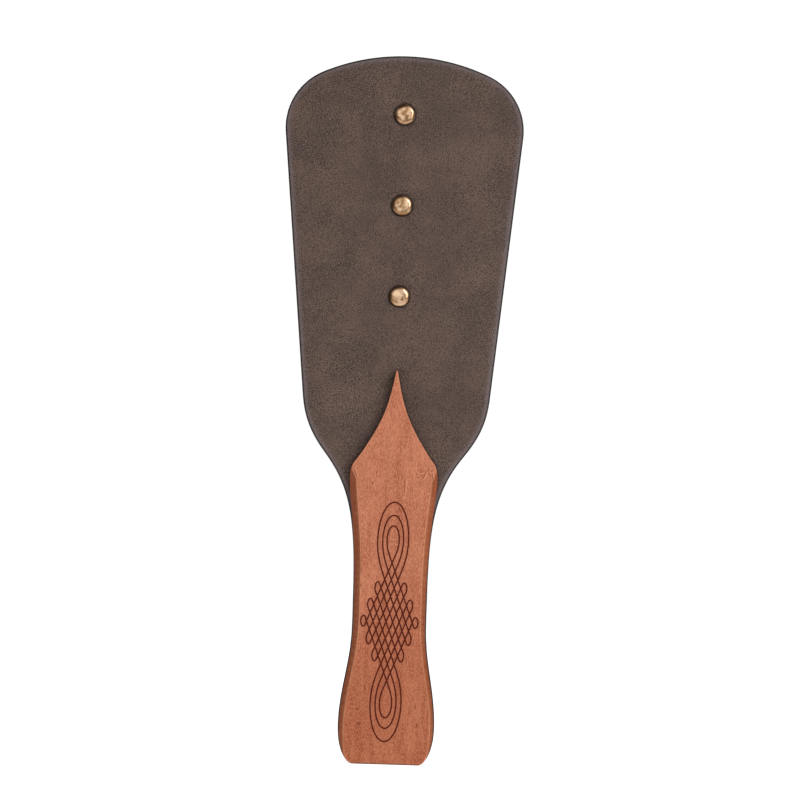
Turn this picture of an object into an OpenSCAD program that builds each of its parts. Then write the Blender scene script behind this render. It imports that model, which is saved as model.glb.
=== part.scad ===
// Double-sided leather strop: a riveted leather paddle with a wooden handle.
// The strop stands on its butt. Z runs up its length, X is its width, and the engraved side faces -Y.

/* [Paddle] */
// Overall length, butt to crown
overall_len = 350; // [315:1:385]
// Greatest width of the head
head_w = 118; // [112:1:126]
// Width of the head just above its shoulders
head_base_w = 93.8; // [88:0.2:98]
// Height of the point where the shoulders end and the straight sides begin
head_base_z = 187; // [184:1:190]
// Radius of the crown
crown_r = 101; // [90:1:130]
// Radius of the two top corners
corner_r = 30; // [24:1:36]

/* [Grip] */
// Width of the palm swell
palm_w = 47.8; // [42:0.2:50]
// Width of the waist
waist_w = 36.7; // [32:0.1:40]
// Height at which the waist begins
waist_low_z = 68; // [60:1:72]
// Height at which the waist ends
waist_top_z = 80; // [76:1:84]
// Sideways size of the rounded butt corners
butt_corner_w = 7.2; // [4:0.2:8]
// Upward size of the rounded butt corners
butt_corner_h = 18; // [12:1:22]
// Width of the neck where its curve changes from hollow to full
neck_w = 69; // [64:1:72]
// Height of that change of curve
neck_z = 152.7; // [148:0.1:156]
// Lean of the neck's edge there, from upright
neck_lean = 38; // [34:1:42]

/* [Layers] */
// Thickness of the stiff core board
core_t = 3; // [2:0.5:4]
// Thickness of each leather
leather_t = 2.5; // [2:0.1:3]
// Thickness of each wooden scale
scale_t = 7; // [6:0.5:9]

/* [Scales] */
// How far each scale's long edges stay inside the leather's edge
scale_inset = 0.6; // [0.2:0.1:0.8]
// Width of a scale at its cheeks
cheek_w = 43.4; // [42:0.1:46]
// Height of the cheeks
cheek_z = 140; // [136:1:142]
// Width where the cheeks turn into the ogee
ogee_w = 35; // [34:0.2:38]
// Height where the ogee begins
ogee_z = 151.8; // [150:0.2:154]
// Lean of the ogee's edge where it begins, from upright
ogee_lean = 34; // [28:1:36]
// Height of the ogee's tip
tip_z = 194.5; // [190:0.5:200]
// Lean of the ogee's edge at its tip, from upright
tip_lean = 10; // [8:1:16]
// Width of the blunt tip
tip_w = 0.8; // [0.8:0.1:2]
// Bevel on the long edges at the butt
bevel_butt = 1.6; // [1:0.1:2]
// Bevel on the long edges at the cheeks
bevel_neck = 3.2; // [2:0.1:3.4]
// Height at which the bevel stops
bevel_stop_z = 147; // [144:1:150]
// Small break on every other front edge
arris = 0.3; // [0.2:0.1:0.4]

/* [Rivets] */
// Height of the lowest rivet
rivet_low_z = 231; // [225:1:240]
// Distance from rivet to rivet
rivet_pitch = 45; // [40:1:48]
// Diameter of a rivet's cap
cap_d = 10.4; // [10:0.2:11]
// Height of a cap above the leather
cap_h = 2.5; // [2.2:0.1:3]
// Thickness of a cap's metal
cap_t = 0.4; // [0.3:0.1:0.5]
// Outer diameter of a rivet's socket
socket_d = 4; // [3.8:0.1:4.4]
// Diameter of a rivet's post
post_d = 2.6; // [2.2:0.1:2.8]

/* [Dowels] */
// Diameter of the hidden dowels
dowel_d = 5; // [4:0.5:6]
// Depth of a dowel in each scale
dowel_depth = 3.5; // [3:0.5:4]
// Room left past each end of a dowel
dowel_gap = 0.2; // [0.1:0.1:0.5]
// Height of the lowest dowel
dowel_low_z = 25; // [22:1:30]
// Distance from dowel to dowel
dowel_pitch = 50; // [45:1:52]

/* [Hidden] */
$fn = 48;

// Points on each curved stretch of an outline
curve_steps = 14;
arc_steps = 10;
// Lengths of the curve handles that shape the neck, the shoulders and the scales
neck_pull = [38, 23];
shoulder_pull = [18, 11];
cheek_pull = [35, 8];
turn_pull = [8, 3.5];
ogee_pull = [21, 17];
// Lengths over which the long bevel fades in and out
bevel_fade_butt = 14;
bevel_fade_stop = 8;

core_face = core_t / 2;
leather_face = core_face + leather_t;
grip_face = leather_face + scale_t;

// A rivet's flange fills its cap from wall to wall, and the dome rises above the cap's straight rim
flange_t = 0.5;
flange_d = cap_d - 2 * cap_t;
cap_rim_h = 0.7;
cap_flat_d = 5.6;
// How far past the middle of the board the post reaches
post_end = 1;

RIVETS = [for (i = [0 : 2]) rivet_low_z + i * rivet_pitch];
DOWELS = [for (i = [0 : 2]) dowel_low_z + i * dowel_pitch];

// ---- Curves: every point is [x, z] on the right-hand half of an outline ----

function heading(lean) = [sin(lean), cos(lean)];

// A cubic curve from p to q, leaving along u and arriving along v, without its first point
function curve(p, u, q, v) = [
    for (i = [1 : curve_steps])
        let (t = i / curve_steps, a = p + u, b = q - v)
            pow(1 - t, 3) * p + 3 * pow(1 - t, 2) * t * a + 3 * (1 - t) * t * t * b + t * t * t * q
];

// An arc about c from angle a to angle b, measured from +X, without its first point
function arc(c, r, a, b) = [
    for (i = [1 : arc_steps])
        let (t = a + (b - a) * i / arc_steps)
            c + r * [cos(t), sin(t)]
];

// The grip from the butt to the top of the waist
butt_flat = palm_w / 2 - butt_corner_w;
grip_side = concat(
    [[butt_flat, 0]],
    [for (i = [1 : arc_steps]) let (a = 90 * i / arc_steps)
        [butt_flat + butt_corner_w * sin(a), butt_corner_h * (1 - cos(a))]],
    [for (i = [1 : curve_steps]) let (s = i / curve_steps)
        [waist_w / 2 + (palm_w - waist_w) / 4 * (1 + cos(180 * s)),
         butt_corner_h + (waist_low_z - butt_corner_h) * s]],
    [[waist_w / 2, waist_top_z]]
);

// The crown and its corners, and the straight side that meets them
crown_c = [0, overall_len - crown_r];
corner_x = head_w / 2 - corner_r;
corner_c = [corner_x, crown_c[1] + sqrt(pow(crown_r - corner_r, 2) - corner_x * corner_x)];
crown_turn = atan2(corner_c[1] - crown_c[1], corner_x);
head_base = [head_base_w / 2, head_base_z];
to_corner = corner_c - head_base;
side_lean = asin(corner_r / norm(to_corner)) - atan2(-to_corner[0], to_corner[1]);

neck = [neck_w / 2, neck_z];
neck_way = heading(neck_lean);
paddle_side = concat(
    grip_side,
    curve([waist_w / 2, waist_top_z], [0, neck_pull[0]], neck, neck_pull[1] * neck_way),
    curve(neck, shoulder_pull[0] * neck_way, head_base, shoulder_pull[1] * heading(side_lean)),
    [corner_c + corner_r * [cos(side_lean), -sin(side_lean)]],
    arc(corner_c, corner_r, -side_lean, crown_turn),
    arc(crown_c, crown_r, crown_turn, 90)
);

scale_waist = [waist_w / 2 - scale_inset, waist_top_z];
cheek = [cheek_w / 2, cheek_z];
ogee = [ogee_w / 2, ogee_z];
ogee_way = heading(-ogee_lean);
tip = [tip_w / 2, tip_z];
scale_side = concat(
    [for (p = grip_side) p - [scale_inset, 0]],
    curve(scale_waist, [0, cheek_pull[0]], cheek, [0, cheek_pull[1]]),
    curve(cheek, [0, turn_pull[0]], ogee, turn_pull[1] * ogee_way),
    curve(ogee, ogee_pull[0] * ogee_way, tip, ogee_pull[1] * heading(-tip_lean))
);

// The left-hand half mirrors the right, and a point on the centreline isn't repeated
function both_sides(side) = concat(
    side,
    [for (i = [len(side) - 1 : -1 : 0]) if (side[i][0] > 0.01) [-side[i][0], side[i][1]]]
);

// ---- The bevelled slab that makes a scale ----

function smooth_step(s) = let (t = max(0, min(1, s))) t * t * (3 - 2 * t);

// Width of the bevel at height z: it fades out at the butt and at the cheeks
function bevel_at(z) =
    let (long_edge = bevel_butt + (bevel_neck - bevel_butt) * z / bevel_stop_z)
        arris + (long_edge - arris) * smooth_step(z / bevel_fade_butt)
            * smooth_step((bevel_stop_z - z) / bevel_fade_stop);

// The way into the outline at point i
function inward(pts, i) =
    let (n = len(pts),
         a = pts[(i + 1) % n] - pts[i],
         b = pts[i] - pts[(i + n - 1) % n],
         w = a / norm(a) + b / norm(b))
        [-w[1], w[0]] / norm(w);

module bevelled_slab(pts, t) {
    n = len(pts);
    base = [for (p = pts) [p[0], p[1], 0]];
    wall_top = [for (p = pts) [p[0], p[1], t - bevel_at(p[1])]];
    face = [for (i = [0 : n - 1])
        let (q = pts[i] + bevel_at(pts[i][1]) * inward(pts, i))
            [q[0], q[1], t]];
    bands = [for (k = [0, n], i = [0 : n - 1], half = [0, 1])
        let (j = (i + 1) % n)
            half == 0 ? [k + i, k + n + i, k + n + j] : [k + i, k + n + j, k + j]];
    polyhedron(
        points = concat(base, wall_top, face),
        faces = concat([[for (i = [0 : n - 1]) i]], bands, [[for (i = [n - 1 : -1 : 0]) 2 * n + i]])
    );
}

// ---- Helpers ----

// An outline stood upright, from y_front back to y_back
module upright(y_front, y_back) {
    translate([0, y_back, 0])
        rotate([90, 0, 0])
            linear_extrude(y_back - y_front)
                children();
}

// A round bar or hole along Y at height z
module along_y(z, d, y_front, y_back) {
    translate([0, y_back, z])
        rotate([90, 0, 0])
            cylinder(d = d, h = y_back - y_front);
}

module rivet_and_dowel_holes() {
    for (z = RIVETS)
        along_y(z, socket_d, -grip_face, grip_face);
    for (z = DOWELS)
        along_y(z, dowel_d, -grip_face, grip_face);
}

// One layer of the full-length paddle
module paddle_layer(y_front, y_back) {
    difference() {
        upright(y_front, y_back)
            polygon(both_sides(paddle_side));
        rivet_and_dowel_holes();
    }
}

// The scale on the front, with its blind dowel holes
module scale() {
    reach = leather_face + dowel_depth + dowel_gap;
    difference() {
        translate([0, -leather_face, 0])
            rotate([90, 0, 0])
                bevelled_slab(both_sides(scale_side), scale_t);
        for (z = DOWELS)
            along_y(z, dowel_d, -reach, 0);
    }
}

// The shell of a cap, axis +Z, with its rim on z = 0
module cap_shell() {
    r = cap_d / 2;
    dome_r = r - cap_flat_d / 2;
    dome_h = cap_h - cap_rim_h;
    dome = [for (i = [0 : arc_steps]) let (a = 90 * i / arc_steps) [cos(a), sin(a)]];
    outer = [for (d = dome) [cap_flat_d / 2 + dome_r * d[0], cap_rim_h + dome_h * d[1]]];
    inner = [for (i = [arc_steps : -1 : 0])
        [cap_flat_d / 2 + (dome_r - cap_t) * dome[i][0], cap_rim_h + (dome_h - cap_t) * dome[i][1]]];
    rotate_extrude()
        polygon(concat(
            [[r - cap_t, 0], [r, 0]],
            outer,
            [[0, cap_h], [0, cap_h - cap_t]],
            inner
        ));
}

module front_cap(z) {
    translate([0, -leather_face, z])
        rotate([90, 0, 0])
            cap_shell();
}

module back_cap(z) {
    translate([0, leather_face, z])
        rotate([-90, 0, 0])
            cap_shell();
}

// The post's flange lies on the front leather, and its stem is pressed into the socket
module post(z) {
    along_y(z, flange_d, -leather_face - flange_t, -leather_face);
    along_y(z, post_d, -leather_face, post_end);
}

// The socket's flange lies on the back leather, and its barrel fills the holes in the layers
module socket(z) {
    difference() {
        union() {
            along_y(z, flange_d, leather_face, leather_face + flange_t);
            along_y(z, socket_d, -leather_face, leather_face);
        }
        along_y(z, post_d, -leather_face - 1, post_end);
    }
}

module dowel(z) {
    reach = leather_face + dowel_depth;
    along_y(z, dowel_d, -reach, reach);
}

// ---- Sub-parts ----

module core_board() {
    color("#1f1614")
        paddle_layer(-core_face, core_face);
}

module front_leather() {
    color("#5b4b46")
        paddle_layer(-leather_face, -core_face);
}

module back_leather() {
    color("#6b5648")
        paddle_layer(core_face, leather_face);
}

module front_scale() {
    color("#b4704e")
        scale();
}

module back_scale() {
    color("#b4704e")
        mirror([0, 1, 0])
            scale();
}

module rivet_front_cap(i) {
    color("#b8924f")
        front_cap(RIVETS[i]);
}

module rivet_back_cap(i) {
    color("#b8924f")
        back_cap(RIVETS[i]);
}

module rivet_post(i) {
    color("#c8a35c")
        post(RIVETS[i]);
}

module rivet_socket(i) {
    color("#c8a35c")
        socket(RIVETS[i]);
}

module wood_dowel(i) {
    color("#d8b98a")
        dowel(DOWELS[i]);
}

core_board();
front_leather();
back_leather();
front_scale();
back_scale();
rivet_front_cap(0);  // rivet_1_front_cap
rivet_post(0);  // rivet_1_post
rivet_socket(0);  // rivet_1_socket
rivet_back_cap(0);  // rivet_1_back_cap
rivet_front_cap(1);  // rivet_2_front_cap
rivet_post(1);  // rivet_2_post
rivet_socket(1);  // rivet_2_socket
rivet_back_cap(1);  // rivet_2_back_cap
rivet_front_cap(2);  // rivet_3_front_cap
rivet_post(2);  // rivet_3_post
rivet_socket(2);  // rivet_3_socket
rivet_back_cap(2);  // rivet_3_back_cap
wood_dowel(0);  // dowel_1
wood_dowel(1);  // dowel_2
wood_dowel(2);  // dowel_3
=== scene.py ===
"""Looks of the two-sided leather strop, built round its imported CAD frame.

The strop stands on its butt: Z is up its length, X its width, and the engraved side faces -Y.
Shapes are worked out in millimetres and turned into metres when a mesh is made.
"""

import math

import bmesh
import bpy
import numpy as np
from mathutils import Matrix, Vector, geometry, kdtree, noise


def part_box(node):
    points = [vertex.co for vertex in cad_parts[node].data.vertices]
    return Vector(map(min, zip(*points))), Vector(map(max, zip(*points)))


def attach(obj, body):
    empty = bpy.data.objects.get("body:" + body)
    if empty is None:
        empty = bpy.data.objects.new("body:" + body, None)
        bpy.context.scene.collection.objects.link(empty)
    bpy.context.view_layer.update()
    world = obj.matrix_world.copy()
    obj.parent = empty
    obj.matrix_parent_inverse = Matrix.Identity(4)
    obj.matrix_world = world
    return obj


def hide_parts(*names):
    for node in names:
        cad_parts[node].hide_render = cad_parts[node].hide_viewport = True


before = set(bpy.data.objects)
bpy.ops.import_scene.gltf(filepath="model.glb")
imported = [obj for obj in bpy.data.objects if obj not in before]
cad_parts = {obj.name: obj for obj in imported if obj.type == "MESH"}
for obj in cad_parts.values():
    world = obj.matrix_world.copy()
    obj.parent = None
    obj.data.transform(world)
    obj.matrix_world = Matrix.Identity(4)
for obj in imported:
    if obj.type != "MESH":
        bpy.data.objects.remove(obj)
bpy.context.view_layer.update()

MM = 0.001


# ---- Sizes taken from the frame, in millimetres ----

def box_mm(node):
    lo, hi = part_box(node)
    return np.array(lo) / MM, np.array(hi) / MM


RIVET_NAMES = ["rivet_1", "rivet_2", "rivet_3"]
DOWEL_NAMES = ["dowel_1", "dowel_2", "dowel_3"]

CORE_FACE = box_mm("core_board")[1][1]
LEATHER_FACE = box_mm("back_leather")[1][1]
GRIP_FACE = box_mm("back_scale")[1][1]
SCALE_TOP = box_mm("front_scale")[1][2]
cap_box = [box_mm(name + "_front_cap") for name in RIVET_NAMES]
RIVET_Z = [(lo[2] + hi[2]) / 2 for lo, hi in cap_box]
CAP_R = (cap_box[0][1][0] - cap_box[0][0][0]) / 2
CAP_H = cap_box[0][1][1] - cap_box[0][0][1]
DOWEL_R = (box_mm("dowel_1")[1][0] - box_mm("dowel_1")[0][0]) / 2
HIGHEST_DOWEL = box_mm("dowel_3")[1][2]


# ---- Small helpers ----

def ramp_up(value, start, end):
    """0 at start and 1 at end, with a smooth turn at both."""
    t = np.clip((value - start) / (end - start), 0, 1)
    return t * t * (3 - 2 * t)


def wobble(x, z, size, seed):
    """Smooth noise from about -1 to 1 over the face, with features of that size."""
    return noise.noise(Vector((x / size, seed * 7.31, z / size)))


# ---- Outlines ----

# A run this many times longer than its neighbour is a straight one.
STRAIGHT_RATIO = 4


def smooth_curve(points, spacing):
    """Points at an even spacing on a smooth curve through the given points; long runs stay straight."""
    p = np.array(points, float)
    step = np.linalg.norm(np.diff(p, axis=0), axis=1)
    slope = np.diff(p, axis=0) / step[:, None]
    before, after = step[:-1, None], step[1:, None]
    middle = (after * slope[:-1] + before * slope[1:]) / (before + after)
    after_straight = before > STRAIGHT_RATIO * after
    before_straight = after > STRAIGHT_RATIO * before
    middle = np.where(after_straight, slope[:-1], np.where(before_straight, slope[1:], middle))
    tangent = np.vstack([slope[:1], middle, slope[-1:]])
    along = np.concatenate([[0], np.cumsum(step)])
    s = np.linspace(0, along[-1], int(along[-1] / spacing) + 1)
    k = np.clip(np.searchsorted(along, s, side="right") - 1, 0, len(step) - 1)
    u = ((s - along[k]) / step[k])[:, None]
    h = step[k][:, None]
    return ((2 * u**3 - 3 * u**2 + 1) * p[k] + (u**3 - 2 * u**2 + u) * h * tangent[k]
            + (3 * u**2 - 2 * u**3) * p[k + 1] + (u**3 - u**2) * h * tangent[k + 1])


def cad_half_outline(node, y_plane, hole_reach, holes_end):
    """The right-hand half of a CAD node's outline on the plane y, as [x, z] from the butt up."""
    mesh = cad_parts[node].data
    found = set()
    for face in mesh.polygons:
        if abs(face.normal.y) > 0.3:
            continue
        for index in face.vertices:
            x, y, z = mesh.vertices[index].co / MM
            on_edge = x > hole_reach or (z > holes_end and x > -0.01)
            if abs(y - y_plane) < 0.01 and on_edge:
                found.add((round(z, 2), round(x, 2)))
    return [(x, z) for z, x in sorted(found)]


class Outline:
    """A closed outline, mirror-symmetric in x, with the inward direction at each of its points."""

    def __init__(self, half, spacing):
        half = [(0.0, 0.0)] + [p for p in half if p[0] > 0.05] + [(0.0, half[-1][1])]
        right = smooth_curve(half, spacing)
        left = right[-2:0:-1] * [-1, 1]
        self.right = right
        self.points = np.vstack([right, left])
        chord = np.roll(self.points, -1, axis=0) - np.roll(self.points, 1, axis=0)
        chord /= np.linalg.norm(chord, axis=1)[:, None]
        self.inward = np.stack([-chord[:, 1], chord[:, 0]], axis=1)
        self.tree = kdtree.KDTree(len(self.points))
        for i, (x, z) in enumerate(self.points):
            self.tree.insert((x, z, 0), i)
        self.tree.balance()

    def half_width(self, z):
        return np.interp(z, self.right[:, 1], self.right[:, 0])

    def depth(self, x, z):
        """Distance from a point to the nearest part of the outline, from inside or outside."""
        _, i, _ = self.tree.find((x, z, 0))
        before, at, after = (self.points[k % len(self.points)] for k in (i - 1, i, i + 1))
        p = np.array((x, z))
        best = 1e9
        for a, b in ((before, at), (at, after)):
            ab = b - a
            t = min(1, max(0, float((p - a) @ ab / (ab @ ab))))
            best = min(best, float(np.linalg.norm(p - a - t * ab)))
        return best

    def inset(self, depths):
        """The outline moved inward by one depth, or by a depth for each point."""
        return self.points + self.inward * np.reshape(depths, (-1, 1))


# ---- Mesh building ----

def make_piece(name, bm, material, nodes, sharp_angle=30):
    """Turns a bmesh in millimetres into a piece that stands for CAD nodes."""
    bmesh.ops.scale(bm, vec=(MM, MM, MM), verts=bm.verts)
    bmesh.ops.recalc_face_normals(bm, faces=bm.faces)
    mesh = bpy.data.meshes.new(name)
    bm.to_mesh(mesh)
    bm.free()
    mesh.shade_smooth()
    mesh.set_sharp_from_angle(angle=math.radians(sharp_angle))
    mesh.materials.append(material)
    piece = bpy.data.objects.new(name, mesh)
    bpy.context.scene.collection.objects.link(piece)
    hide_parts(*nodes)
    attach(piece, "root")
    return piece


def triangulated_face(outline, loops, points, lines):
    """Points and triangles that fill an outline and follow the given loops and open lines."""
    n = len(outline.points)
    verts = [tuple(p) for p in outline.points]
    edges = []
    for loop in loops:
        start, count = len(verts), len(loop)
        verts += [tuple(p) for p in loop]
        edges += [(start + i, start + (i + 1) % count) for i in range(count)]
    for line in lines:
        start = len(verts)
        verts += [tuple(p) for p in line]
        edges += [(start + i, start + i + 1) for i in range(len(line) - 1)]
    verts += [tuple(p) for p in points]
    flat, _, tris, _, _, _ = geometry.delaunay_2d_cdt(
        [Vector(v) for v in verts], edges, [list(range(n))], 1, 1e-4)
    return [(v.x, v.y) for v in flat], tris


def grid_points(outline, spacing, margin, z_from=-1e9, z_to=1e9):
    """A staggered grid of points inside an outline, clear of its edge."""
    top = outline.right[-1, 1]
    found = []
    rows = int(top / (spacing * 0.87))
    for row in range(1, rows):
        z = row * spacing * 0.87
        if not z_from < z < z_to:
            continue
        reach = outline.half_width(z)
        shift = 0.5 * spacing if row % 2 else 0.0
        columns = int(reach / spacing) + 1
        for column in range(-columns, columns + 1):
            x = column * spacing + shift
            if abs(x) < reach and outline.depth(x, z) > margin:
                found.append((x, z))
    return found


def rim_of(tris):
    """The rim of a triangulated face, as point numbers in order round it."""
    edges = {(tri[k - 1], tri[k]) for tri in tris for k in range(3)}
    onward = {a: b for a, b in edges if (b, a) not in edges}
    rim = [min(onward)]
    while len(rim) < len(onward):
        rim.append(onward[rim[-1]])
    return rim


def relief_slab(outline, flat, tris, height, side, back_levels, attributes):
    """A closed slab whose front is a relief.

    height(x, z, depth) gives each front point's distance from the middle plane and side is -1 for the front
    of the strop and 1 for its back. back_levels lists (inset, distance) for the rings that lead from the
    front's edge down the wall to the hidden face. attributes maps a name to a function of (x, z, depth).
    """
    bm = bmesh.new()
    layers = {key: bm.verts.layers.float.new(key) for key in attributes}

    def add_point(x, y, z, depth):
        vert = bm.verts.new((x, side * y, z))
        for key, rule in attributes.items():
            vert[layers[key]] = float(rule(x, z, depth))
        return vert

    made = {}
    for i in sorted({i for tri in tris for i in tri}):
        x, z = flat[i]
        depth = outline.depth(x, z)
        if depth < 1e-3:
            depth = 0.0
        made[i] = add_point(x, height(x, z, depth), z, depth)
    for tri in tris:
        bm.faces.new([made[i] for i in tri])
    ring = [made[i] for i in rim_of(tris)]
    for inset, level in back_levels:
        lower = []
        for vert in ring:
            _, i, _ = outline.tree.find((vert.co.x, vert.co.z, 0))
            x, z = outline.points[i] + outline.inward[i] * inset
            lower.append(add_point(x, level, z, 0.0))
        for k in range(len(ring)):
            bm.faces.new((ring[k], lower[k], lower[k - 1], ring[k - 1]))
        ring = lower
    bm.faces.new(ring)
    return bm


# ---- Leathers and board ----

# Vertices this near the middle belong to rivet and dowel holes, up to the height where the holes end.
paddle_half = cad_half_outline("core_board", CORE_FACE, DOWEL_R + 0.5, RIVET_Z[2] + 10)
scale_half = cad_half_outline("front_scale", -LEATHER_FACE, DOWEL_R + 0.1, HIGHEST_DOWEL + 20)
paddle = Outline(paddle_half, 1.2)
scale_outline = Outline(scale_half, 0.8)

LEATHER_ROUND = 0.9
LEATHER_LOOPS = [0.05, 0.14, 0.28, 0.48, 0.7, 0.9, 1.3, 1.9, 2.7, 3.8, 5.2]
ROLL_DEPTH = 0.28
ROLL_WIDTH = 2.2
DIMPLE_DEPTH = 0.3
DIMPLE_WIDTH = 1.7
RIVET_RINGS = [3.4, 4.4, 5.0, 5.3, 5.6, 6.0, 6.6, 7.4, 8.6, 10.2]
RING_POINTS = 48
LEATHER_GRID = 3.2
LEATHER_GRID_MARGIN = 6.5
RIVET_CLEARANCE = 11.5
LEATHER_BACK = [(0.0, CORE_FACE + 0.2), (0.06, CORE_FACE + 0.06), (0.2, CORE_FACE)]
COVERED_TO = SCALE_TOP - 75
BARE_FROM = SCALE_TOP - 50
COVERED_ROUND = 0.2
WAVE_HEIGHT = 0.07
WAVE_SIZE = 26
GLUE_SHADE_FROM = 132.0
GLUE_SHADE_FADE = 4
GLUE_SHADE_WIDTH = 0.5
GLUE_SHADE_RAILS = [-0.2, 0.1, 0.35, 0.7, 1.2]


def rivet_distance(x, z):
    return min(math.hypot(x, z - rivet) for rivet in RIVET_Z)


def leather_height(seed):
    """A leather's face: rounded and rolled at its bare edge, dimpled round the caps, and slightly wavy."""
    def height(x, z, depth):
        round_off = 0.0
        if depth < LEATHER_ROUND:
            u = 1 - depth / LEATHER_ROUND
            round_off = LEATHER_ROUND * (1 - math.sqrt(1 - u * u))
        roll = ROLL_DEPTH * math.exp(-((depth / ROLL_WIDTH) ** 1.5))
        bare = float(ramp_up(z, COVERED_TO, BARE_FROM))
        round_off *= COVERED_ROUND + (1 - COVERED_ROUND) * bare
        roll *= bare
        from_cap = max(0.0, rivet_distance(x, z) - CAP_R)
        dimple = DIMPLE_DEPTH * math.exp(-((from_cap / DIMPLE_WIDTH) ** 1.3))
        calm = float(ramp_up(depth, 2, 9))
        waves = WAVE_HEIGHT * calm * (wobble(x, z, WAVE_SIZE, seed) - 0.6)
        return LEATHER_FACE - round_off - roll - dimple + min(0.0, waves)

    return height


def cut_edge(x, z, depth):
    """1 on the stained cut edge, 0 on the face."""
    return 1 - ramp_up(depth, 0.5, 1.1)


def rolled_edge_wear_and_sheen(x, z, depth):
    """1 where the face starts to roll over, 0 further in; paler there with wear and a painted sheen."""
    return math.exp(-((depth / 2.6) ** 2))


def cap_grime_and_shade(x, z, depth):
    """1 in the crease round each cap, darkened by grime and painted shade, 0 away from it."""
    return math.exp(-(max(0.0, rivet_distance(x, z) - CAP_R - 0.1) / 0.4) ** 2)


def scale_glue_and_shade(x, z, depth):
    """1 on the leather right against the head end of a scale, fading out within a millimetre: a dark glue
    line with painted shade.
    """
    start = ramp_up(z, GLUE_SHADE_FROM, GLUE_SHADE_FROM + GLUE_SHADE_FADE)
    if start <= 0:
        return 0.0
    return math.exp(-((scale_outline.depth(x, z) / GLUE_SHADE_WIDTH) ** 2)) * start


def glue_and_shade_lines():
    """Lines along a scale's head end, so that the leather's mesh is fine enough for the glue line and its
    painted shade.
    """
    head = scale_outline.points[:, 1] > GLUE_SHADE_FROM
    return [scale_outline.inset(-rail)[head] for rail in GLUE_SHADE_RAILS]


def rivet_rings():
    """Rings of points round each rivet, so that the dimples come out round."""
    angles = np.linspace(0, 2 * math.pi, RING_POINTS, endpoint=False)
    return [(r * math.cos(a), rivet + r * math.sin(a))
            for rivet in RIVET_Z for r in RIVET_RINGS for a in angles]


def make_leather(name, node, side, seed, material):
    """One leather, with its relief on the outside and its flat back on the board."""
    loops = [paddle.inset(depth) for depth in LEATHER_LOOPS]
    grid = grid_points(paddle, LEATHER_GRID, LEATHER_GRID_MARGIN)
    grid = [p for p in grid if rivet_distance(*p) > RIVET_CLEARANCE]
    flat, tris = triangulated_face(paddle, loops, rivet_rings() + grid, glue_and_shade_lines())
    marks = {"cut_edge": cut_edge, "rolled_edge_wear_and_sheen": rolled_edge_wear_and_sheen, "cap_grime_and_shade": cap_grime_and_shade, "scale_glue_and_shade": scale_glue_and_shade}
    bm = relief_slab(paddle, flat, tris, leather_height(seed), side, LEATHER_BACK, marks)
    return make_piece(name, bm, material, [node])


# The board's arris as (inset, drop below its face), from the face out to the edge.
BOARD_ARRIS = [(0.3, 0.0), (0.14, 0.05), (0.08, 0.2)]


def make_board(material):
    """The core board: a slab with softened arrises, just inside the leathers' edges."""
    bm = bmesh.new()
    levels = [(inset, CORE_FACE - drop) for inset, drop in BOARD_ARRIS]
    mirrored = [(inset, -level) for inset, level in reversed(levels)]
    made = []
    for inset, level in levels + mirrored:
        made.append([bm.verts.new((x, level, z)) for x, z in paddle.inset(inset)])
    count = len(paddle.points)
    for upper, lower in zip(made, made[1:]):
        for i in range(count):
            j = (i + 1) % count
            bm.faces.new((upper[i], upper[j], lower[j], lower[i]))
    bm.faces.new(made[0])
    bm.faces.new(reversed(made[-1]))
    return make_piece("board_core", bm, material, ["core_board"])


# ---- Scales ----

BEVEL_BUTT = 1.6
BEVEL_NECK = 3.2
BEVEL_STOP = 147.0
ARRIS = 0.3
BEVEL_FADE_BUTT = 14.0
BEVEL_FADE_STOP = 8.0
HAND_CUT = 0.12
BEVEL_WANDER = 0.08
SOFTEN = 0.16
SCALE_GRID = 2.0
SCALE_GRID_MARGIN = 1.2
GROOVE_CLEARANCE = 0.8
MARKS_GRID = 0.34
MARKS_FROM = 133
MARKS_TO = 148
EDGE_ROUND = 0.3
FACE_WAVE = 0.05
SCALE_BACK = [(0.0, LEATHER_FACE + 0.25), (0.08, LEATHER_FACE + 0.06), (0.25, LEATHER_FACE)]


def bevel_at(x, z, seed):
    """Width of the bevel at a height; the hand-cut left bevel is a little wider than the right one."""
    side = math.copysign(1.0, x)
    long_edge = BEVEL_BUTT + (BEVEL_NECK - BEVEL_BUTT) * z / BEVEL_STOP
    long_edge *= 1 - HAND_CUT * side + BEVEL_WANDER * wobble(side * 20, z, 22, seed)
    fade = ramp_up(z, 0, BEVEL_FADE_BUTT) * ramp_up(BEVEL_STOP - z, 0, BEVEL_FADE_STOP)
    return ARRIS + (long_edge - ARRIS) * float(fade)


def soft_corner(t):
    """t where t is positive and 0 where it is negative, with a rounded turn."""
    if t <= -SOFTEN:
        return 0.0
    if t >= SOFTEN:
        return t
    return (t + SOFTEN) ** 2 / (4 * SOFTEN)


# ---- The engraved interlace: two sets of crossing strands whose ends close in loops ----

KNOT_MIDDLE = (0.05, 70.4)
KNOT_TILT = math.radians(0.9)
STRANDS = 8
COLUMN = 3.23
ROW = 4.15
WIDEST = 40.3
ELLIPSE = 0.5523
GROOVE_HALF = 0.41
GROOVE_FLOOR = 0.26
GROOVE_DEPTH = 0.34
GROOVE_STEP = 0.45
SMOKE_REACH = 0.8


def crossing(i, j):
    """Where falling strand i meets rising strand j, about the knot's middle."""
    return np.array([(j - i) * COLUMN / 2, (STRANDS - 1 - i - j) * ROW])


def bezier(p, a, b, q):
    """A cubic curve from p to q with control points a and b."""
    p, a, b, q = (np.array(v, float) for v in (p, a, b, q))
    count = max(4, int(np.linalg.norm(q - p) * 1.2 / GROOVE_STEP))
    t = np.linspace(0, 1, count + 1)[:, None]
    return (1 - t) ** 3 * p + 3 * (1 - t) ** 2 * t * a + 3 * (1 - t) * t**2 * b + t**3 * q


def chain(*curves):
    return np.vstack([curves[0]] + [c[1:] for c in curves[1:]])


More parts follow.
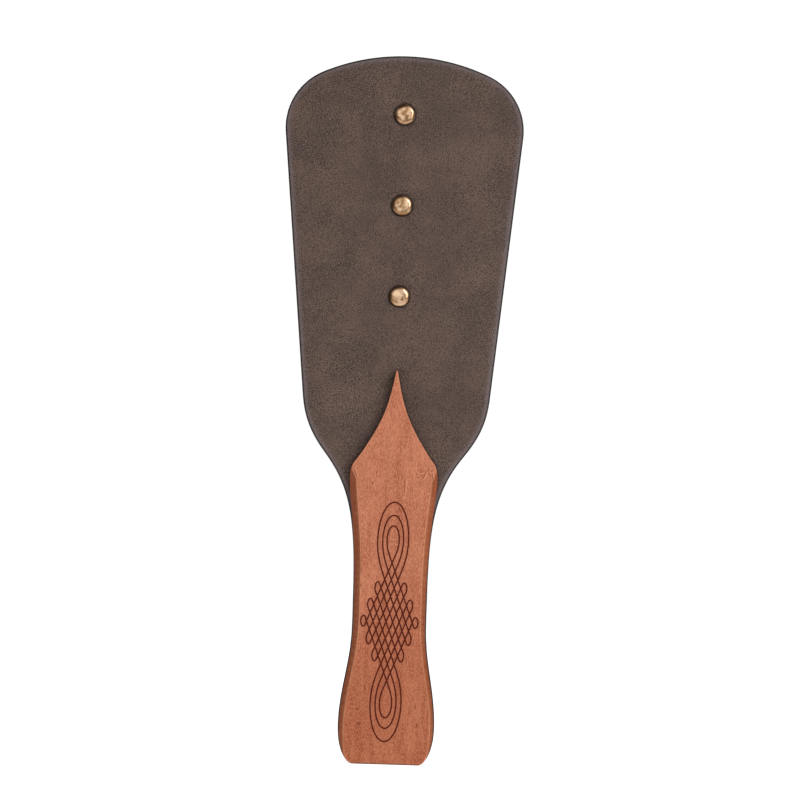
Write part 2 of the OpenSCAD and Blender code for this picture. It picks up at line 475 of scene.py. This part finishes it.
def end_loop(order, half_width, apex):
    """A long loop that closes falling strand `order` onto rising strand `order` at the top."""
    start = crossing(order, 0)
    out = np.array([-COLUMN / 2, ROW]) / math.hypot(COLUMN / 2, ROW)
    wide = np.array([-half_width, WIDEST])
    reach = wide[1] - start[1]
    top = np.array([0.0, apex])
    left = chain(
        bezier(start, start + out * reach * 0.35, wide - [0, reach * 0.4], wide),
        bezier(wide, wide + [0, (apex - WIDEST) * ELLIPSE], top - [half_width * ELLIPSE, 0], top))
    return chain(left, left[::-1] * [-1, 1])


def side_loop(order):
    """A small loop that closes falling strand `order` onto the next one at the upper left."""
    start = crossing(order, 0)
    end = crossing(order + 1, 0)
    top = start + [-1.7, 2.85]
    left = start + [-3.0, -0.2]
    return chain(
        bezier(start, start + [-0.6, 1.55], top + [0.75, 0.05], top),
        bezier(top, top + [-0.8, 0], left + [0, 1.4], left),
        bezier(left, left + [0, -1.5], end + [-0.55, 1.5], end))


def corner_loop():
    """The small loop at the left corner, back to its own crossing."""
    start = crossing(STRANDS - 1, 0)
    top = start + [-1.4, 2.65]
    left = start + [-2.8, 0]
    upper = chain(
        bezier(start, start + [-0.55, 1.45], top + [0.7, 0], top),
        bezier(top, top + [-0.85, 0], left + [0, 1.3], left))
    lower = (upper - start)[::-1] * [1, -1] + start
    return chain(upper, lower)


def knot_lines():
    """Every line of the knot on the face, as arrays of [x, z]."""
    last = STRANDS - 1
    lines = []
    for k in range(STRANDS):
        falling = [crossing(k, 0), crossing(k, last)]
        rising = [crossing(0, k), crossing(last, k)]
        for a, b in (falling, rising):
            count = int(np.linalg.norm(b - a) / GROOVE_STEP)
            t = np.linspace(0, 1, count + 1)[:, None]
            lines.append(a + (b - a) * t)
    for order, half_width, apex in ((0, 3.0, 47.3), (1, 5.1, 52.5), (2, 7.6, 59.0)):
        loop = end_loop(order, half_width, apex)
        lines += [loop, loop * [1, -1]]
    for order in (3, 5):
        loop = side_loop(order)
        lines += [loop * [sx, sz] for sx in (1, -1) for sz in (1, -1)]
    loop = corner_loop()
    lines += [loop, loop * [-1, 1]]
    c, s = math.cos(KNOT_TILT), math.sin(KNOT_TILT)
    turn = np.array([[c, -s], [s, c]])
    return [line @ turn + KNOT_MIDDLE for line in lines]


def offset_line(line, distance):
    """A line moved sideways by a distance."""
    way = np.gradient(line, axis=0)
    way /= np.linalg.norm(way, axis=1)[:, None]
    return line + np.stack([-way[:, 1], way[:, 0]], axis=1) * distance


class Groove:
    """Depth of the engraving anywhere on the face."""

    def __init__(self, lines):
        dense = []
        for line in lines:
            for a, b in zip(line, line[1:]):
                dense += [a + (b - a) * t for t in (0, 0.2, 0.4, 0.6, 0.8)]
            dense.append(line[-1])
        self.tree = kdtree.KDTree(len(dense))
        for i, (x, z) in enumerate(dense):
            self.tree.insert((x, z, 0), i)
        self.tree.balance()

    def distance(self, x, z):
        """Distance to the middle of the nearest line."""
        _, _, distance = self.tree.find((x, z, 0))
        return distance

    def share(self, x, z):
        """1 on the groove's floor and 0 outside it."""
        return float(1 - ramp_up(self.distance(x, z), GROOVE_FLOOR - 0.03, GROOVE_HALF - 0.02))

    def smoke(self, x, z):
        """1 at a groove's lip, fading to 0 a millimetre or so away."""
        return math.exp(-((max(0.0, self.distance(x, z) - GROOVE_FLOOR) / SMOKE_REACH) ** 2))


# Tool marks near both cheeks and the tops of the bevels: (x, z, length, lean in degrees)
CHATTER = [(15.0, 142.8, 3.2, 29), (17.6, 143.8, 1.3, -32), (13.4, 144.6, 1.2, 74), (19.0, 142.4, 2.2, -14),
           (17.2, 146.2, 1.1, -8), (18.8, 145.4, 1.2, 48), (12.0, 141.8, 1.3, 80), (5.5, 137.2, 8.0, 2),
           (-8.4, 143.6, 1.8, 12), (-10.2, 138.6, 2.2, 24), (-19.1, 143.6, 6.0, -20)]

CHATTER_DEPTH = 0.32
CHATTER_HALF = 0.3
BURR_SHIFT = 0.62


def chatter_at(x, z, shift=0.0):
    """1 in the middle of a shallow tool mark, 0 away from it; a shift gives the burr beside it."""
    deepest = 0.0
    for cx, cz, length, lean in CHATTER:
        a = math.radians(lean)
        dx, dz = x - cx, z - cz
        along = dx * math.sin(a) + dz * math.cos(a)
        across = dx * math.cos(a) - dz * math.sin(a) - shift
        deepest = max(deepest, math.exp(-((along / length) ** 2) * 4 - (across / CHATTER_HALF) ** 2))
    return deepest


def make_scale(name, node, side, seed, material, engraved):
    """One handle scale, bevelled along its sides; the engraved one also has the knot and the tool marks."""
    bevels = np.array([bevel_at(x, z, seed) for x, z in scale_outline.points])
    loops = [scale_outline.inset(np.minimum(depth, bevels * 0.6)) for depth in (0.05, 0.12, 0.24)]
    loops += [scale_outline.inset(bevels + step) for step in (-SOFTEN, -0.05, 0.06, SOFTEN, 0.6)]
    lines = knot_lines() if engraved else []
    groove = Groove(lines) if engraved else None
    rails = [offset_line(line, d) for line in lines for d in
             (-GROOVE_HALF, -GROOVE_FLOOR, GROOVE_FLOOR, GROOVE_HALF)]
    grid = grid_points(scale_outline, SCALE_GRID, SCALE_GRID_MARGIN)
    if engraved:
        grid = [p for p in grid if groove.distance(*p) > GROOVE_CLEARANCE]
        grid += grid_points(scale_outline, MARKS_GRID, 1.0, MARKS_FROM, MARKS_TO)
    flat, tris = triangulated_face(scale_outline, loops, grid, lines + rails)

    def height(x, z, depth):
        bevel = bevel_at(x, z, seed)
        top = GRIP_FACE - soft_corner(bevel - depth)
        if depth < EDGE_ROUND:
            top -= EDGE_ROUND * (1 - depth / EDGE_ROUND) ** 2
        calm = float(ramp_up(depth, bevel, bevel + 2.5))
        top += FACE_WAVE * calm * (wobble(x, z * 0.4, 9, seed) - 0.7)
        if engraved:
            top -= GROOVE_DEPTH * groove.share(x, z)
            cut = chatter_at(x, z) - 0.25 * chatter_at(x, z, BURR_SHIFT)
            top -= CHATTER_DEPTH * max(0.0, cut) * float(ramp_up(depth, bevel - 0.4, bevel + 0.6))
        return top

    def on_bevel(x, z, depth):
        return 1 - ramp_up(depth, bevel_at(x, z, seed) - 0.1, bevel_at(x, z, seed) + 0.12)

    def arris_highlight(x, z, depth):
        away = abs(depth - bevel_at(x, z, seed) - 0.05)
        return math.exp(-(away / 0.22) ** 2)

    def burnt(x, z, depth):
        return groove.share(x, z) if engraved else 0.0

    def smoked(x, z, depth):
        return groove.smoke(x, z) if engraved else 0.0

    def tool_cut_shade(x, z, depth):
        return chatter_at(x, z) if engraved else 0.0

    def tool_burr_highlight(x, z, depth):
        return chatter_at(x, z, BURR_SHIFT) if engraved else 0.0

    def butt_edge_shade(x, z, depth):
        return (1 - ramp_up(z, 0.25, 0.7)) if depth < 1.5 else 0.0

    def towards_butt(x, z, depth):
        return 1 - ramp_up(z, 10, 135)

    def long_bevel(x, z, depth):
        return ramp_up(bevel_at(x, z, seed), 0.5, 1.3)

    marks = {"on_bevel": on_bevel, "arris_highlight": arris_highlight, "burnt": burnt, "long_bevel": long_bevel,
             "butt_edge_shade": butt_edge_shade, "tool_cut_shade": tool_cut_shade, "tool_burr_highlight": tool_burr_highlight,
             "smoked": smoked, "towards_butt": towards_butt}
    bm = relief_slab(scale_outline, flat, tris, height, side, SCALE_BACK, marks)
    return make_piece(name, bm, material, [node])


# ---- Rivet caps ----

CAP_SEGMENTS = 72
CAP_SINK = 0.28
CAP_FLAT_R = 3.0
DOME_FROM = 0.6
DOME_STEPS = 12
DENT = 0.1
DENT_SIZE = 2.4
PIT = 0.012
PIT_SIZE = 0.9


def cap_profile():
    """(radius, height above the leather's face) from the sunk rim to the middle of the dome."""
    rim = [(CAP_R - 0.22, -CAP_SINK), (CAP_R - 0.06, -CAP_SINK + 0.08), (CAP_R, -CAP_SINK + 0.28),
           (CAP_R, 0.35), (CAP_R - 0.05, DOME_FROM)]
    dome = []
    for k in range(1, DOME_STEPS + 1):
        a = math.radians(90 * k / DOME_STEPS)
        radius = CAP_FLAT_R + (CAP_R - 0.05 - CAP_FLAT_R) * math.cos(a)
        dome.append((radius, DOME_FROM + (CAP_H - 0.68) * math.sin(a)))
    crown = [(r, CAP_H - 0.08 + 0.05 * (1 - (r / CAP_FLAT_R) ** 2))
             for r in (2.6, 2.2, 1.8, 1.4, 1.0, 0.6, 0.3)]
    return rim + dome + crown


def make_cap(name, node, rivet_z, side, seed, material):
    """One rivet cap: a lightly dented dome whose rim is sunk in the leather."""
    bm = bmesh.new()
    ring_layer = bm.verts.layers.float.new("ring")
    rows = []
    for radius, level in cap_profile():
        row = []
        for k in range(CAP_SEGMENTS):
            a = 2 * math.pi * k / CAP_SEGMENTS
            x, z = radius * math.cos(a), radius * math.sin(a)
            dent = 0.0
            if level > DOME_FROM:
                dent = DENT * wobble(x, z, DENT_SIZE, seed) + PIT * wobble(x, z, PIT_SIZE, seed + 3)
            rise = min(CAP_H, level + dent - 0.05)
            vert = bm.verts.new((x, side * (LEATHER_FACE + rise), rivet_z + z))
            vert[ring_layer] = float(ramp_up(radius, 2.7, 3.5))
            row.append(vert)
        rows.append(row)
    for outer, inner in zip(rows, rows[1:]):
        for k in range(CAP_SEGMENTS):
            j = (k + 1) % CAP_SEGMENTS
            bm.faces.new((outer[k], outer[j], inner[j], inner[k]))
    bm.faces.new(rows[-1])
    bm.faces.new(reversed(rows[0]))
    return make_piece(name, bm, material, [node], 50)


# ---- Materials ----

def linear(code):
    """A colour written as six hex digits, as the shader wants it."""
    channels = [int(code[i:i + 2], 16) / 255 for i in (0, 2, 4)]
    return [c / 12.92 if c <= 0.04045 else ((c + 0.055) / 1.055) ** 2.4 for c in channels] + [1.0]


class Paint:
    """A procedural material on one Principled shader, with short calls for its nodes."""

    def __init__(self, name):
        self.material = bpy.data.materials.new(name)
        self.material.use_nodes = True
        self.tree = self.material.node_tree
        self.tree.nodes.clear()
        output = self.tree.nodes.new("ShaderNodeOutputMaterial")
        self.shader = self.tree.nodes.new("ShaderNodeBsdfPrincipled")
        self.tree.links.new(self.shader.outputs[0], output.inputs[0])
        where = self.tree.nodes.new("ShaderNodeTexCoord")
        self.where = where.outputs["Object"]

    def put(self, value, socket):
        if isinstance(value, bpy.types.NodeSocket):
            self.tree.links.new(value, socket)
        else:
            socket.default_value = value

    def scaled(self, per_mm, shift=(0, 0, 0)):
        """Object coordinates where one unit is 1 / per_mm millimetres along each axis."""
        node = self.tree.nodes.new("ShaderNodeMapping")
        node.inputs["Scale"].default_value = [s / MM for s in per_mm]
        node.inputs["Location"].default_value = shift
        self.tree.links.new(self.where, node.inputs["Vector"])
        return node.outputs[0]

    def noise(self, vector, detail=3.0, roughness=0.5, distortion=0.0):
        node = self.tree.nodes.new("ShaderNodeTexNoise")
        self.put(vector, node.inputs["Vector"])
        node.inputs["Scale"].default_value = 1.0
        node.inputs["Detail"].default_value = detail
        node.inputs["Roughness"].default_value = roughness
        node.inputs["Distortion"].default_value = distortion
        return node.outputs[0]

    def cells(self, vector):
        node = self.tree.nodes.new("ShaderNodeTexVoronoi")
        self.put(vector, node.inputs["Vector"])
        node.inputs["Scale"].default_value = 1.0
        return node.outputs["Distance"]

    def levels(self, value, start, end, low=0.0, high=1.0):
        """value from start to end, stretched to low to high and held there."""
        node = self.tree.nodes.new("ShaderNodeMapRange")
        node.interpolation_type = "SMOOTHSTEP"
        self.put(value, node.inputs["Value"])
        for key, number in (("From Min", start), ("From Max", end), ("To Min", low), ("To Max", high)):
            node.inputs[key].default_value = number
        return node.outputs[0]

    def sums(self, operation, a, b):
        """One arithmetic operation on two values."""
        node = self.tree.nodes.new("ShaderNodeMath")
        node.operation = operation
        self.put(a, node.inputs[0])
        self.put(b, node.inputs[1])
        return node.outputs[0]

    def mix(self, share, a, b):
        """a turned towards b by that share."""
        node = self.tree.nodes.new("ShaderNodeMix")
        node.data_type = "RGBA"
        self.put(share, node.inputs[0])
        self.put(a, node.inputs[6])
        self.put(b, node.inputs[7])
        return node.outputs[2]

    def attribute(self, name):
        """A value that the mesh carries at each of its points."""
        node = self.tree.nodes.new("ShaderNodeAttribute")
        node.attribute_name = name
        return node.outputs["Fac"]

    def bump(self, height, distance_mm, under=None):
        node = self.tree.nodes.new("ShaderNodeBump")
        node.inputs["Strength"].default_value = 1.0
        node.inputs["Distance"].default_value = distance_mm * MM
        self.put(height, node.inputs["Height"])
        if under is not None:
            self.put(under, node.inputs["Normal"])
        return node.outputs[0]

    def finish(self, **sockets):
        for key, value in sockets.items():
            self.put(value, self.shader.inputs[key.replace("_", " ")])
        return self.material


def edge_stain(p):
    """Near-black stain on a leather's cut edge, with the brown fibres showing through in layers."""
    layers = p.noise(p.scaled((1 / 6, 1 / 0.3, 1 / 6), (1, 5, 2)), 3.0, 0.6, 0.2)
    fibres = p.noise(p.scaled((1 / 0.7, 1 / 0.25, 1 / 0.7), (8, 2, 6)), 3.0, 0.65)
    colour = p.mix(p.levels(layers, 0.45, 0.65, 0.0, 0.8), linear("0e0908"), linear("2b1d16"))
    return p.mix(p.levels(fibres, 0.5, 0.72, 0.0, 0.7), colour, linear("3f2d22"))


def grain_leather():
    """Dark brown pebbled leather with cloudy colour, a stained cut edge, a rolled edge paler with wear and
    a painted sheen, and grime with painted shade round the caps and along the scales.
    """
    p = Paint("grain_leather")
    clouds = p.noise(p.scaled((1 / 24,) * 3), 2.5, 0.55, 0.4)
    blotches = p.noise(p.scaled((1 / 9,) * 3, (3, 1, 5)), 1.0, 0.5, 0.3)
    pebbles = p.cells(p.scaled((1 / 0.54,) * 3))
    pores = p.noise(p.scaled((1 / 0.4,) * 3, (2, 2, 2)), 1.0, 0.6)
    patches = p.levels(p.noise(p.scaled((1 / 15,) * 3, (9, 4, 2)), 2.0), 0.38, 0.62, 0.75, 1.0)
    colour = p.mix(p.levels(clouds, 0.33, 0.67), linear("3f302a"), linear("554238"))
    colour = p.mix(p.levels(blotches, 0.42, 0.68, 0.0, 0.4), colour, linear("473932"))
    fine = p.sums("MULTIPLY", p.levels(pores, 0.45, 0.68), patches)
    colour = p.mix(p.levels(fine, 0.0, 1.0, 0.0, 0.9), colour, linear("745d50"))
    creases = p.sums("MULTIPLY", p.levels(pebbles, 0.4, 0.75), patches)
    colour = p.mix(p.levels(creases, 0.0, 1.0, 0.0, 0.8), colour, linear("241813"))
    # Paler rolled edge: partly wear, partly a painted sheen.
    colour = p.mix(p.levels(p.attribute("rolled_edge_wear_and_sheen"), 0.1, 1.0, 0.0, 0.7), colour, linear("665a5c"))
    # Grime and painted shade in the crease round each cap.
    colour = p.mix(p.attribute("cap_grime_and_shade"), colour, linear("1a0e0a"))
    # Dark glue line with painted shade where the leather meets a scale.
    colour = p.mix(p.attribute("scale_glue_and_shade"), colour, linear("1d0c07"))
    colour = p.mix(p.attribute("cut_edge"), colour, edge_stain(p))
    height = p.sums("ADD", p.sums("MULTIPLY", pebbles, -1.0), p.sums("MULTIPLY", pores, 0.55))
    height = p.sums("MULTIPLY", height, patches)
    roughness = p.levels(blotches, 0.3, 0.7, 0.5, 0.62)
    return p.finish(Base_Color=colour, Roughness=roughness, Specular_IOR_Level=0.28,
                    Normal=p.bump(height, 0.15))


def flesh_leather():
    """The napped flesh side of the back leather."""
    p = Paint("flesh_leather")
    clouds = p.noise(p.scaled((1 / 30,) * 3), 3.0, 0.6, 0.5)
    nap = p.noise(p.scaled((1 / 0.5, 1 / 0.5, 1 / 0.9)), 4.0, 0.7, 0.6)
    strokes = p.noise(p.scaled((1 / 9, 1 / 9, 1 / 26), (2, 8, 1)), 2.0, 0.5, 1.2)
    colour = p.mix(p.levels(clouds, 0.32, 0.68), linear("403128"), linear("513f32"))
    colour = p.mix(p.levels(strokes, 0.4, 0.62, 0.0, 0.35), colour, linear("5d4a3b"))
    colour = p.mix(p.levels(nap, 0.35, 0.68, 0.0, 0.45), colour, linear("33261f"))
    # Grime and painted shade in the crease round each cap.
    colour = p.mix(p.attribute("cap_grime_and_shade"), colour, linear("1a0e0a"))
    # Dark glue line with painted shade where the leather meets a scale.
    colour = p.mix(p.attribute("scale_glue_and_shade"), colour, linear("1d0c07"))
    colour = p.mix(p.attribute("cut_edge"), colour, edge_stain(p))
    roughness = p.levels(nap, 0.3, 0.7, 0.8, 0.95)
    return p.finish(Base_Color=colour, Roughness=roughness, Specular_IOR_Level=0.25,
                    Sheen_Weight=0.25, Sheen_Roughness=0.5, Normal=p.bump(nap, 0.16))


def stained_board():
    """The board's edge: thin plies under a black-brown stain."""
    p = Paint("stained_board")
    plies = p.noise(p.scaled((1 / 60, 1 / 0.55, 1 / 60), (0, 3, 0)), 1.0, 0.5)
    fibres = p.noise(p.scaled((1 / 0.6, 1 / 0.3, 1 / 3.5)), 3.0, 0.6)
    scuffs = p.noise(p.scaled((1 / 14, 1 / 4, 1 / 14), (5, 5, 1)), 3.0, 0.6)
    colour = p.mix(p.levels(plies, 0.42, 0.56), linear("140d0b"), linear("35251d"))
    colour = p.mix(p.levels(fibres, 0.4, 0.7, 0.0, 0.6), colour, linear("4a3527"))
    colour = p.mix(p.levels(scuffs, 0.55, 0.72, 0.0, 0.5), colour, linear("5c4330"))
    return p.finish(Base_Color=colour, Roughness=p.levels(fibres, 0.3, 0.7, 0.45, 0.6),
                    Normal=p.bump(fibres, 0.06))


def scale_wood(name, shift):
    """Oiled red-brown fine-grained wood, darker towards the butt, darker on the long bevels with stain and
    painted shade, with painted highlights on the arris and the tool burrs, painted shade in the tool marks
    and along the butt's bottom edge, and burnt in the engraving.
    """
    p = Paint(name)
    figure = p.noise(p.scaled((1 / 3.2, 1 / 3.2, 1 / 60), shift), 3.0, 0.55, 0.8)
    broad = p.noise(p.scaled((1 / 16, 1 / 16, 1 / 45), shift), 2.0, 0.5, 0.5)
    blush = p.noise(p.scaled((1 / 9, 1 / 9, 1 / 12), (4, 2, 7)), 3.0, 0.6)
    fibre = p.noise(p.scaled((1 / 0.42, 1 / 0.42, 1 / 3.0), shift), 3.0, 0.6)
    speckle = p.noise(p.scaled((1 / 0.52, 1 / 0.52, 1 / 1.15), (7, 3, 1)), 1.0, 0.6)
    flecks = p.noise(p.scaled((1 / 0.8, 1 / 0.8, 1 / 3.6), (1, 9, 4)), 1.0, 0.4)
    streaks = p.noise(p.scaled((1 / 1.7, 1 / 1.7, 1 / 13), (6, 2, 3)), 2.0, 0.55, 0.3)
    zone = p.levels(p.noise(p.scaled((1 / 10, 1 / 10, 1 / 26), (5, 5, 9)), 1.0), 0.48, 0.62)
    colour = p.mix(p.levels(figure, 0.3, 0.7), linear("94543b"), linear("b06b51"))
    colour = p.mix(p.levels(broad, 0.38, 0.62, 0.0, 0.6), colour, linear("bb785d"))
    colour = p.mix(p.levels(blush, 0.45, 0.7, 0.0, 0.5), colour, linear("98503d"))
    # Darker and more streaked towards the butt.
    darker_towards_butt = p.mix(0.46, colour, linear("803e1b"))
    colour = p.mix(p.attribute("towards_butt"), colour, darker_towards_butt)
    streaks_towards_butt = p.levels(p.attribute("towards_butt"), 0.0, 1.0, 0.45, 1.0)
    streaked = p.sums("MULTIPLY", p.levels(streaks, 0.46, 0.66, 0.0, 0.55), streaks_towards_butt)
    colour = p.mix(streaked, colour, linear("7c3b20"))
    worn = p.levels(p.attribute("towards_butt"), 0.0, 1.0, 1.0, 0.6)
    dark_grain = p.sums("MULTIPLY", p.levels(fibre, 0.4, 0.66, 0.0, 0.68), worn)
    pale_grain = p.sums("MULTIPLY", p.levels(speckle, 0.42, 0.66, 0.0, 0.72), worn)
    colour = p.mix(dark_grain, colour, linear("7e4027"))
    colour = p.mix(pale_grain, colour, linear("bd7d5e"))
    dark = p.sums("MULTIPLY", p.levels(flecks, 0.66, 0.74), zone)
    colour = p.mix(p.levels(dark, 0.0, 1.0, 0.0, 0.75), colour, linear("5d2818"))
    # The long bevels darker: partly a darker stain, partly painted shade.
    bevel_stain_and_shade = p.sums("MULTIPLY", p.attribute("on_bevel"), p.attribute("long_bevel"))
    colour = p.mix(bevel_stain_and_shade, colour, p.mix(0.72, colour, linear("763617")))
    # Painted highlight along the arris.
    colour = p.mix(p.sums("MULTIPLY", p.attribute("arris_highlight"), 0.5), colour, linear("b88161"))
    # Painted highlight on the burr beside each tool mark.
    colour = p.mix(p.sums("MULTIPLY", p.attribute("tool_burr_highlight"), 0.8), colour, linear("cb8f70"))
    # Painted shade in each tool mark.
    colour = p.mix(p.sums("MULTIPLY", p.attribute("tool_cut_shade"), 0.85), colour, linear("6a2c14"))
    colour = p.mix(p.sums("MULTIPLY", p.attribute("smoked"), 0.16), colour, linear("7c4230"))
    # Painted shade along the butt's bottom edge.
    colour = p.mix(p.attribute("butt_edge_shade"), colour, linear("4a2215"))
    colour = p.mix(p.attribute("burnt"), colour, linear("481003"))
    height = p.sums("ADD", p.sums("MULTIPLY", fibre, 0.6), p.sums("MULTIPLY", speckle, 0.4))
    charred = p.sums("MULTIPLY", p.attribute("burnt"), 0.3)
    roughness = p.sums("ADD", p.levels(fibre, 0.3, 0.7, 0.45, 0.58), charred)
    return p.finish(Base_Color=colour, Roughness=roughness, Specular_IOR_Level=0.1,
                    Normal=p.bump(height, 0.035))


def antique_brass():
    """Lightly dented brass with brown patina, thickest round the dome's shoulder."""
    p = Paint("antique_brass")
    smoke = p.noise(p.scaled((1 / 4.2,) * 3, (1.3, 3, 2.2)), 4.0, 0.55, 0.4)
    specks = p.noise(p.scaled((1 / 0.45,) * 3), 2.0, 0.6)
    colour = p.mix(p.levels(smoke, 0.38, 0.62), linear("84603f"), linear("dfbd9b"))
    colour = p.mix(p.levels(p.attribute("ring"), 0.0, 1.0, 0.0, 0.4), colour, linear("8d6747"))
    colour = p.mix(p.levels(specks, 0.6, 0.75, 0.0, 0.3), colour, linear("5e3d20"))
    roughness = p.levels(smoke, 0.3, 0.7, 0.27, 0.36)
    return p.finish(Base_Color=colour, Metallic=1.0, Roughness=roughness,
                    Normal=p.bump(smoke, 0.03, under=p.bump(specks, 0.003)))


def plain_brass():
    """Turned brass of the hidden posts and sockets."""
    p = Paint("plain_brass")
    marks = p.noise(p.scaled((1 / 1.4, 1 / 0.4, 1 / 1.4)), 3.0, 0.6)
    colour = p.mix(p.levels(marks, 0.35, 0.65), linear("b99156"), linear("d6b277"))
    return p.finish(Base_Color=colour, Metallic=1.0, Roughness=p.levels(marks, 0.3, 0.7, 0.25, 0.4),
                    Normal=p.bump(marks, 0.02))


def dowel_wood():
    """Pale straight-grained wood of the hidden dowels."""
    p = Paint("dowel_wood")
    grain = p.noise(p.scaled((1 / 0.5, 1 / 5, 1 / 0.5)), 3.0, 0.6)
    colour = p.mix(p.levels(grain, 0.35, 0.65), linear("b98f5f"), linear("d9b98a"))
    return p.finish(Base_Color=colour, Roughness=p.levels(grain, 0.3, 0.7, 0.55, 0.7),
                    Normal=p.bump(grain, 0.04))


# ---- Build the pieces ----

leather_front = grain_leather()
leather_back = flesh_leather()
brass = antique_brass()
make_leather("leather_front", "front_leather", -1, 1, leather_front)
make_leather("leather_back", "back_leather", 1, 2, leather_back)
make_board(stained_board())
make_scale("scale_front", "front_scale", -1, 1, scale_wood("scale_wood_front", (0, 0, 0)), True)
make_scale("scale_back", "back_scale", 1, 2, scale_wood("scale_wood_back", (3, 1, 2)), False)
for number, (rivet_name, rivet_z) in enumerate(zip(RIVET_NAMES, RIVET_Z)):
    make_cap(rivet_name + "_cap_front", rivet_name + "_front_cap", rivet_z, -1, number + 1, brass)
    make_cap(rivet_name + "_cap_back", rivet_name + "_back_cap", rivet_z, 1, number + 5, brass)


def refinish(node, material):
    """Gives a CAD node that stays in view its own material."""
    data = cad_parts[node].data
    data.materials.clear()
    data.materials.append(material)


hidden_brass = plain_brass()
hidden_wood = dowel_wood()
for rivet_name in RIVET_NAMES:
    refinish(rivet_name + "_post", hidden_brass)
    refinish(rivet_name + "_socket", hidden_brass)
for dowel_name in DOWEL_NAMES:
    refinish(dowel_name, hidden_wood)


# ---- Stage, lights and camera ----

AIM = Vector((0, 0, 0.19))
FLOOR_R = 0.75
FLOOR_GLOW = 0.85
ROOM_LIGHT = 0.16
BACKDROP_LIGHT = 1.05


def make_floor():
    """A plain pale disc under the butt, with a glow of its own."""
    bm = bmesh.new()
    bmesh.ops.create_circle(bm, cap_ends=True, segments=96, radius=FLOOR_R)
    mesh = bpy.data.meshes.new("floor")
    bm.to_mesh(mesh)
    bm.free()
    floor = bpy.data.objects.new("floor", mesh)
    bpy.context.scene.collection.objects.link(floor)
    p = Paint("floor_paper")
    p.finish(Base_Color=(0.7, 0.7, 0.7, 1), Roughness=0.9, Specular_IOR_Level=0.1,
             Emission_Color=(1, 1, 1, 1), Emission_Strength=FLOOR_GLOW)
    mesh.materials.append(p.material)


def make_light(name, place, size, power):
    """A soft rectangular lamp aimed at the middle of the strop, in metres and watts."""
    data = bpy.data.lights.new(name, "AREA")
    data.shape = "RECTANGLE"
    data.size, data.size_y = size
    data.energy = power
    lamp = bpy.data.objects.new(name, data)
    lamp.location = place
    lamp.rotation_euler = (AIM - Vector(place)).to_track_quat("-Z", "Y").to_euler()
    bpy.context.scene.collection.objects.link(lamp)


def make_world():
    """Dim surroundings for the light, and a white backdrop where the camera looks past the strop."""
    world = bpy.data.worlds.new("studio")
    world.use_nodes = True
    tree = world.node_tree
    tree.nodes.clear()
    output = tree.nodes.new("ShaderNodeOutputWorld")
    mix = tree.nodes.new("ShaderNodeMixShader")
    path = tree.nodes.new("ShaderNodeLightPath")
    room = tree.nodes.new("ShaderNodeBackground")
    backdrop = tree.nodes.new("ShaderNodeBackground")
    room.inputs[0].default_value = (1, 1, 1, 1)
    room.inputs[1].default_value = ROOM_LIGHT
    backdrop.inputs[0].default_value = (1, 1, 1, 1)
    backdrop.inputs[1].default_value = BACKDROP_LIGHT
    tree.links.new(path.outputs["Is Camera Ray"], mix.inputs[0])
    tree.links.new(room.outputs[0], mix.inputs[1])
    tree.links.new(backdrop.outputs[0], mix.inputs[2])
    tree.links.new(mix.outputs[0], output.inputs[0])
    bpy.context.scene.world = world


CAMERA_DISTANCE = 1.6
FRAME_WIDTH = 0.3958
SENSOR = 36.0
ROLL = math.radians(1.8)
CAMERA_X = 0.0019
CAMERA_Z = 0.1798


def make_camera():
    """A long-lens camera square to the front face and turned by a small roll."""
    data = bpy.data.cameras.new("camera")
    data.sensor_width = SENSOR
    data.lens = SENSOR * CAMERA_DISTANCE / FRAME_WIDTH
    data.clip_start = 0.05
    data.clip_end = 50
    camera = bpy.data.objects.new("camera", data)
    bpy.context.scene.collection.objects.link(camera)
    c, s = math.cos(ROLL), math.sin(ROLL)
    place = (CAMERA_X, -LEATHER_FACE * MM - CAMERA_DISTANCE, CAMERA_Z)
    camera.matrix_world = Matrix((
        (c, -s, 0, place[0]),
        (0, 0, -1, place[1]),
        (s, c, 0, place[2]),
        (0, 0, 0, 1)))
    bpy.context.scene.camera = camera


make_floor()
make_world()
make_light("key_right", place=(0.85, -1.15, 0.62), size=(0.8, 0.9), power=13)
make_light("high_right", place=(0.54, -0.81, 0.76), size=(0.6, 0.6), power=2.6)
make_light("front_fill", place=(-0.55, -1.9, 0.65), size=(1.6, 1.4), power=8.8)
make_light("back_fill", place=(-0.9, 1.5, 0.7), size=(0.8, 0.8), power=18)
make_camera()
bpy.context.scene.view_settings.view_transform = "Standard"
